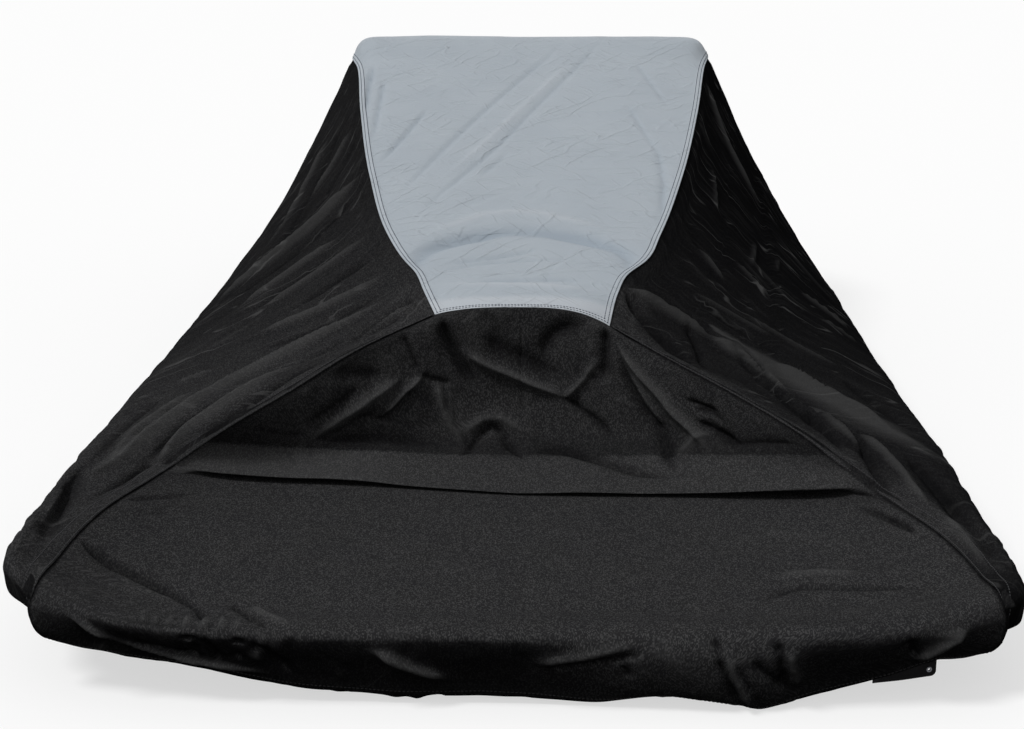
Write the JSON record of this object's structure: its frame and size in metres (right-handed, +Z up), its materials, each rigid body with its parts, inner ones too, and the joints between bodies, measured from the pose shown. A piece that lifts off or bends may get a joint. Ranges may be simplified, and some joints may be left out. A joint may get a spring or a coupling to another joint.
{
  "type": "personal watercraft cover",
  "caption": "Fitted two-tone cloth cover for a personal watercraft: pale top panel, dark side and rear panels, crosswise tuck, turned hem and tie tab.",
  "frame": {"origin": "underside of the top panel at the handlebars, in the middle, where the craft holds the cover up", "axes": "+X to the right, +Y forward to the bow, +Z up"},
  "size_m": [1.273, 3.192, 0.6109],
  "materials": {
    "pale_cloth": "coated woven polyester, matt",
    "black_cloth": "coated woven polyester, slight sheen",
    "black_webbing": "woven webbing",
    "dark_steel": "darkened"
  },
  "bodies": {
    "root": {"top_panel": "pale_cloth", "side_panel_left": "black_cloth", "side_panel_right": "black_cloth", "rear_panel": "black_cloth", "tie_tab": "black_webbing", "tab_eyelet": "dark_steel"}
  },
  "joints": []
}
